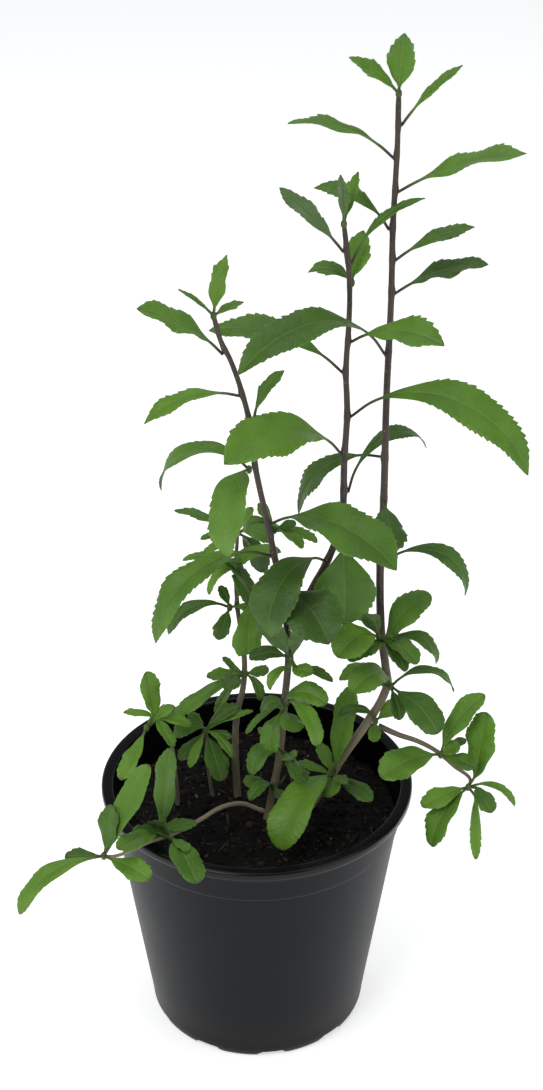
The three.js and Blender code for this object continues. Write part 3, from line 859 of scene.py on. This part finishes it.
def stem_shape(node, sink):
    """A stem's points, faces and straightened places, drawn over its packed rings."""
    centres, radii = stem_plans[node]
    if sink:
        drop = unit(centres[0] - centres[1]) * sink
        centres = np.vstack([centres[0] + drop, centres])
        radii = np.append(radii[0] * foot_flare, radii)
    for heart in buds:
        if np.linalg.norm(heart - centres[-1]) < tip_reach:
            centres = np.vstack([centres, heart])
            radii = np.append(radii, radii[-1] * bud_neck)
            break
    marks = marks_along(centres)
    length = length_of(centres)
    places = np.linspace(0, 1, max(8, round(length / stem_ring_gap)))
    centre = smooth_values(marks, centres, places)
    radius = smooth_values(marks, radii, places) * (1 - tip_slimming * places**2)
    tangent = unit_rows(np.gradient(centre, axis=0))
    side = np.zeros_like(centre)
    side[0] = unit(np.cross(tangent[0], [0.31, 0.9, 0.2]))
    for i in range(1, len(centre)):
        side[i] = unit(side[i - 1] - (side[i - 1] @ tangent[i]) * tangent[i])
    other = np.cross(tangent, side)
    turns = np.arange(stem_points) * math.tau / stem_points
    cosines, sines = np.cos(turns), np.sin(turns)
    outward = cosines[None, :, None] * side[:, None] + sines[None, :, None] * other[:, None]
    swell = np.zeros((len(centre), stem_points))
    for foot in leaf_feet:
        away = np.linalg.norm(centre - foot, axis=1)
        nearest = int(np.argmin(away))
        if away[nearest] > radius[nearest] + foot_reach:
            continue
        near = np.exp(-(((places - places[nearest]) * length / node_length) ** 2))
        toward = outward[nearest] @ (foot - centre[nearest]) / max(away[nearest], 0.1 * mm)
        cushion = cushion_height * np.clip(toward, 0, 1)[None, :] ** 3
        swell += near[:, None] * (node_swelling * radius[nearest] + cushion)
    swell = np.minimum(swell, most_swelling)
    wobble = np.array([[noise.noise(Vector((place * length / wobble_length, 3 * c, 3 * s)))
                        for c, s in zip(cosines, sines)] for place in places])
    swollen = radius[:, None] * (1 + wobble_share * wobble) + swell
    rings = centre[:, None] + outward * swollen[..., None]
    points, faces = loft(rings, centre[0], centre[-1] + tangent[-1] * radius[-1] * end_dome)
    straight = np.stack(np.broadcast_arrays(
        cosines * radius.mean() / mm, sines * radius.mean() / mm, (places * length / mm)[:, None]),
        axis=-1)
    straight = np.concatenate([straight.reshape(-1, 3), [[0, 0, 0]], [[0, 0, length / mm]]])
    own_bark = leaf_feet[len(node)] / mm  # shifts the pattern from stem to stem
    return points, faces, {"bark_place_mm": straight + own_bark}


root_depth = 3 * mm
for node in stem_nodes:
    shape = stem_shape(node, 0 if node == "branch_right" else root_depth)
    bark, slot = stem_finishes.get(node, (purple_bark, "purple_stem"))
    add_piece(node + "_bark", [shape], bark, node)
print("stems:", len(stem_nodes))

# %% [markdown]
# ## The pot
# The pot is injection moulded from black polypropylene, recycled more often than not. It has a
# rolled lip, a shallow step a little below it, a tapered wall, a rounded corner, and a foot ring with
# notches that let water run out. It is a turned shape, so we draw half of its section and spin it.
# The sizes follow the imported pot: its box gives the rim's radius and the height.

# %% Section of the pot
rim_radius = pot_high.x
pot_height = pot_high.z
lip_width = 6.5 * mm
lip_depth = 5 * mm
wall_thickness = 1.5 * mm
step_z = pot_height - 22 * mm
wall_step = 0.6 * mm
wall_top_radius = 81 * mm
wall_base_radius = 61 * mm
corner_height = 8 * mm
foot_radius = 57 * mm
foot_width = 2.5 * mm
floor_clearance = 4 * mm
floor_thickness = 1.6 * mm
pad_radius = 12 * mm


def wall_radius(z):
    share = (z - corner_height) / (pot_height - lip_depth - corner_height)
    radius = wall_base_radius + (wall_top_radius - wall_base_radius) * share
    return radius - wall_step if z < step_z else radius


def on_wall(*heights, inwards=0):
    return [(wall_radius(z) - inwards, z) for z in heights]


def arc(centre_r, centre_z, radius_r, radius_z, first, last, steps):
    """Points on a quarter or half of an oval, as (radius, height) pairs. Angles are in degrees."""
    turns = np.radians(np.linspace(first, last, steps))
    return [(centre_r + radius_r * math.cos(t), centre_z + radius_z * math.sin(t)) for t in turns]


lip_round = 1.4 * mm
lip_bottom = pot_height - lip_depth
corner_out = wall_radius(corner_height)
outside = arc(foot_radius, corner_height, corner_out - foot_radius, corner_height, -90, 0, 10)
outside[0] = (foot_radius, 0)
outside += on_wall(*np.linspace(corner_height, step_z - 1.2 * mm, 14)[1:], step_z - 0.9 * mm)
outside += [(wall_radius(step_z), step_z + 0.1 * mm)]
outside += on_wall(*np.linspace(step_z + 0.6 * mm, lip_bottom - 0.8 * mm, 5))
outside += [(wall_top_radius + 0.5 * mm, lip_bottom)]
lip = arc(rim_radius - lip_round, lip_bottom + lip_round, lip_round, lip_round, -90, 0, 5)
lip += arc(rim_radius - lip_round, pot_height - lip_round, lip_round, lip_round, 0, 90, 7)
inner_round = 1.1 * mm
inner_top = rim_radius - lip_width
lip += arc(inner_top + inner_round, pot_height - inner_round, inner_round, inner_round, 90, 180, 6)
inside = [(wall_radius(step_z) - wall_thickness - 0.4 * mm, step_z + 2 * mm),
          (wall_radius(step_z - mm) - wall_thickness, step_z - 2 * mm),
          (wall_radius(corner_height) - wall_thickness, corner_height + 2 * mm),
          (foot_radius - mm, floor_clearance + floor_thickness)]
pot_section = outside + lip + inside
print(f"pot: rim {2 * rim_radius / mm:.0f} mm across, {pot_height / mm:.0f} mm tall")

# %% [markdown]
# The bottom of the foot isn't one flat ring: between its ten pads the edge is lifted by about 3.5 mm
# with slanted ends. Each point of the section becomes a ring round the axis, and we raise the lowest
# rings wherever a notch is. The eight drain holes are cut afterwards by a Boolean modifier, whose
# result is kept as the mesh.

# %% Spin the pot and notch its foot
pot_turns = 240
notch_count = 10
notch_half_width = 7 * mm
notch_slope = 2.2 * mm
notch_height = 3.5 * mm
first_notch = math.radians(278)


def notch_lift(turn):
    """How far the foot's edge is raised at a heading."""
    pitch = math.tau / notch_count
    off = abs((turn - first_notch + pitch / 2) % pitch - pitch / 2) * foot_radius
    return notch_height * min(1, max(0, (notch_half_width + notch_slope / 2 - off) / notch_slope))


floor_top = floor_clearance + floor_thickness
foot_inside = foot_radius - foot_width
underside = [(pad_radius, 0), (pad_radius, floor_clearance), (foot_inside, floor_clearance),
             (foot_inside, 0)]
headings = np.arange(pot_turns) * math.tau / pot_turns
lifts = np.array([notch_lift(heading) for heading in headings])
rings = [ring_at(headings, radius, np.maximum(height, lifts) if radius > pad_radius + mm else height)
         for radius, height in underside + pot_section]
pot_mesh = join("moulded_pot", [loft(rings, (0, 0, 0), (0, 0, floor_top))])
finish_faces(pot_mesh, rim_angle)
pot = add_object("moulded_pot", pot_mesh)
print("points in the pot:", len(pot.data.vertices))

# %% Drill the drain holes
drain_count = 8
drain_radius = 5 * mm
drain_circle = 38 * mm
drill_sides = 32
drill_ends = (-10 * mm, 20 * mm)
sharp_edge = math.radians(32)

turns = np.arange(drill_sides) * math.tau / drill_sides
drill_shapes = []
for hole in range(drain_count):
    heading = hole * math.tau / drain_count
    x, y = drain_circle * math.cos(heading), drain_circle * math.sin(heading)
    ends = [ring_at(turns, drain_radius, z, x, y) for z in drill_ends]
    drill_shapes.append(loft(ends, *((x, y, z) for z in drill_ends)))
drill = add_object("drain_drill", join("drain_drill", drill_shapes))
finish_faces(drill.data, sharp_edge)
cut = pot.modifiers.new("drain_holes", "BOOLEAN")
cut.operation = "DIFFERENCE"
cut.object = drill
cut.solver = "EXACT"
bpy.context.view_layer.update()
drilled = bpy.data.meshes.new_from_object(
    pot.evaluated_get(bpy.context.evaluated_depsgraph_get()))
pot.modifiers.clear()
pot.data = drilled
bpy.data.objects.remove(drill)
finish_faces(drilled, sharp_edge)
print("pot faces with", drain_count, "drain holes:", len(pot.data.polygons))

# %% [markdown]
# Moulded black polypropylene isn't deep black. The mould is lightly spark-eroded, which leaves a
# fine even grain, and the grain spreads reflections into a soft grey sheen. The lip has been handled
# and is smoother, so it has a material of its own, whose darker base colour is painted shade. The
# inner wall takes the same darker material, which paints shade inside the pot. Near the foot there
# is a breath of dried peat dust, and all over there are short hair scratches. Polypropylene's IOR is
# about 1.49. The grain is really about 0.1 mm; it is drawn at 0.6 mm so that it shows.

# %% Pot finish
grain_size = 0.6 * mm
scratch_gap = 9 * mm
scratch_stretch = 12
dust_top = 35 * mm
dust_brown = "#3a352f"
scratch_grey = "#3d3f42"
polish_play = 0.14  # how much the roughness varies from place to place


def pot_material(name, dark, light, rough, specular):
    material, tree, shader = new_material(
        name, IOR=1.49, Roughness=rough, Specular_IOR_Level=specular)
    place = add_node(tree, "NewGeometry")
    height = add_node(tree, "SeparateXYZ", {0: place}).outputs["Z"]
    grain = add_noise(tree, place, 1 / grain_size, 2.0)
    clouds = add_noise(tree, place, 26.0, 5.0, 0.6)
    along = 1 / scratch_gap
    streaks = add_node(tree, "Mapping", {
        "Vector": place, "Rotation": (0.3, 0.2, 0.5), "Scale": (along, along, scratch_stretch * along)})
    scratch = remap(tree, add_noise(tree, streaks, 2.0, 3.0), (0.66, 0.74), (0.0, 1.0))
    black = blend(tree, maths(tree, "MULTIPLY_ADD", grain, 0.5, clouds), dark, light)
    dust = maths(tree, "MULTIPLY", remap(tree, height, (0.0, dust_top), (0.35, 0.0)), clouds)
    dusty = blend(tree, dust, black, dust_brown)
    worn = blend(tree, maths(tree, "MULTIPLY", scratch, 0.2), dusty, scratch_grey)
    patchy = maths(tree, "MULTIPLY_ADD", clouds, polish_play, rough - polish_play / 2)
    bump = add_bump(tree, grain, 0.16, 0.3 * mm)
    set_inputs(tree, shader, {"Base Color": worn, "Roughness": patchy, "Normal": bump})
    return material


wall_black = pot_material("moulded_black_polypropylene", "#05070a", "#0b0e12", 0.4, 0.145)
# The lip finish is smoother, and its darker base colour is painted shade on the lip and on the inner
# wall.
lip_and_inner_wall_painted_shade = pot_material("smooth_lip_and_inner_wall_painted_shade_polypropylene", "#030304", "#070809", 0.16, 0.26)
pot.data.materials.clear()
for finish in (wall_black, lip_and_inner_wall_painted_shade):
    pot.data.materials.append(finish)
# Faces of the lip, and of the inner wall above the floor, take the darker finish as painted shade.
for face in pot.data.polygons:
    above_lip = face.center.z > lip_bottom - 0.2 * mm
    inner_wall = math.hypot(face.center.x, face.center.y) < wall_radius(face.center.z) - mm
    face.material_index = int(above_lip or (inner_wall and face.center.z > 2 * floor_top))
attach(pot, "root")
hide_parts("pot")
print("pot finish:", pot.data.materials[0].name)

# %% [markdown]
# ## Peat
# Damp potting peat is nearly black and crumbly: lumps of a few millimetres on a gently uneven
# surface, with fibres and a few pale grains of grit or perlite. We make it in two layers. A closed
# disc with a fine grid is pushed up and down by noise of three sizes, which gives the ground. Then
# crumbs, each a small ball pushed out of round, are half sunk into it.

# %% Ground of the peat
soil_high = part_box("soil")[1]
soil_radius = soil_high.x + 0.5 * mm
soil_rings = 90
soil_spokes = 300
edge_dip = 1.8 * mm
dip_start = 0.86  # of the radius
mean_drop = 0.6 * mm
side_depth = 14 * mm
low_radius = soil_radius - 1.6 * mm
lump_sizes = [(26 * mm, 1.5 * mm), (8 * mm, 1.7 * mm), (3.4 * mm, 0.8 * mm)]  # across, and height


def ground_height(x, y):
    """Height of the peat's surface at a place."""
    rim_share = math.hypot(x, y) / soil_radius
    dip = edge_dip * max(0, rim_share - dip_start) / (1 - dip_start)
    height = soil_high.z - mean_drop - dip
    for size, tall in lump_sizes:
        height += tall * noise.noise(Vector((x / size, y / size, size * 900)))
    return height


turns = np.arange(soil_spokes) * math.tau / soil_spokes
rings = []
for ring in range(1, soil_rings + 1):
    places = ring_at(turns, soil_radius * ring / soil_rings, 0)
    rings.append([(x, y, ground_height(x, y)) for x, y, _ in places])
low_z = soil_high.z - side_depth
rings.append(ring_at(turns, low_radius, low_z))
ground_points, ground_faces = loft(rings, (0, 0, ground_height(0, 0)), (0, 0, low_z))
print(f"peat: {2 * soil_radius / mm:.0f} mm across, {len(ground_points)} points")

# %% Crumbs, fibres and grit
crumb_count = 1500
crumb_size = 0.8 * mm  # half of the usual crumb's length
largest_crumb = 2.1 * mm
size_spread = 0.45
pale_share, pale_size = 0.055, 0.6  # pale grains are rare, and smaller than crumbs
fibre_share = 0.07
fibre_stretch = np.array([4.5, 0.42, 0.42])
fibre_tone = 0.25
crumb_rng = np.random.default_rng(7)
ball = bmesh.new()
bmesh.ops.create_icosphere(ball, subdivisions=2, radius=1.0)
ball_points = np.array([tuple(vert.co) for vert in ball.verts])
ball_faces = [[vert.index for vert in face.verts] for face in ball.faces]
ball.free()

soil_shapes = [(ground_points, ground_faces, {"paleness": np.zeros(len(ground_points))})]
for crumb in range(crumb_count):
    radius = soil_radius * 0.985 * math.sqrt(crumb_rng.random())
    turn = crumb_rng.random() * math.tau
    size = crumb_rng.lognormal(0.0, size_spread) * crumb_size
    pale = crumb_rng.random() < pale_share
    fibre = crumb_rng.random() < fibre_share
    if pale:
        size *= pale_size
    stretch = crumb_rng.uniform(0.65, 1.25, 3)
    if fibre:
        stretch = fibre_stretch * crumb_rng.uniform(0.7, 1.1)
    spin_angle = crumb_rng.random() * math.tau
    bumpy = 1 + 0.3 * np.array([noise.noise(Vector(p * 1.7 + crumb * 3.1)) for p in ball_points])
    shape = ball_points * bumpy[:, None] * stretch * min(size, largest_crumb)
    c, s = math.cos(spin_angle), math.sin(spin_angle)
    shape = shape @ np.array([[c, s, 0], [-s, c, 0], [0, 0, 1]])
    reach = np.hypot(shape[:, 0], shape[:, 1]).max()
    radius = min(radius, soil_radius - reach)
    x, y = radius * math.cos(turn), radius * math.sin(turn)
    z = ground_height(x, y) + 0.25 * shape[:, 2].max()
    tone = crumb_rng.uniform(0.6, 1.0) if pale else crumb_rng.uniform(0.0, 0.34) ** 1.7
    paleness = np.full(len(ball_points), fibre_tone if fibre else tone)
    soil_shapes.append((shape + np.array([x, y, z]), ball_faces, {"paleness": paleness}))
print("crumbs on the peat:", crumb_count)

# %% [markdown]
# Wet organic matter is dark because water fills the pores between its grains. It still glistens
# here and there, so the roughness is high but varies. The tiny grains are about half a millimetre.

# %% Peat finish and the finished soil
soil_grain = 0.6 * mm
clods_per_m, flecks_per_m = 120.0, 190.0


def peat_material():
    material, tree, shader = new_material(
        "damp_peat_compost", Roughness=0.9, IOR=1.4, Specular_IOR_Level=0.25)
    place = add_node(tree, "NewGeometry")
    pale = add_node(tree, "Attribute", attribute_name="paleness").outputs["Fac"]
    grains = add_noise(tree, place, 1 / soil_grain, 3.0, 0.65)
    clods = add_noise(tree, place, clods_per_m, 4.0)
    both = maths(tree, "MULTIPLY", grains, clods)
    colours = add_ramp(tree, both, [(0.12, "#050504"), (0.3, "#0c0a08"), (0.5, "#28221c")])
    flecks = add_node(tree, "TexVoronoi", {"Vector": place, "Scale": flecks_per_m})
    flecked = blend(tree, remap(tree, flecks, (0.05, 0.09), (0.6, 0.0)), colours, "#55493a")
    damp = remap(tree, clods, (0.35, 0.65), (0.65, 0.95))
    set_inputs(tree, shader, {
        "Base Color": blend(tree, pale, flecked, "#7a7062"), "Roughness": damp,
        "Normal": add_bump(tree, grains, 0.8, 0.6 * mm)})
    return material


peat = peat_material()
add_piece("peat_surface", soil_shapes, peat, "soil")
print("peat finish:", peat.name)

# %% [markdown]
# ## Last steps
# The last cell prints the box of the imported model and the box of the finished plant, whose leaves
# may droop or curl a little past the first. The finished plant must still fit the box of the
# imported model, with a little room for leaves that droop or curl.

# %% Print the boxes of the imported model and of the plant
bpy.context.view_layer.update()
plant_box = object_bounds()
sizes = {"cad": [list(corner) for corner in cad_box],
         "visual": [list(corner) for corner in plant_box]}
for name, (low, high) in sizes.items():
    print(name, "box, mm:", [round(v / mm) for v in low], "to", [round(v / mm) for v in high])
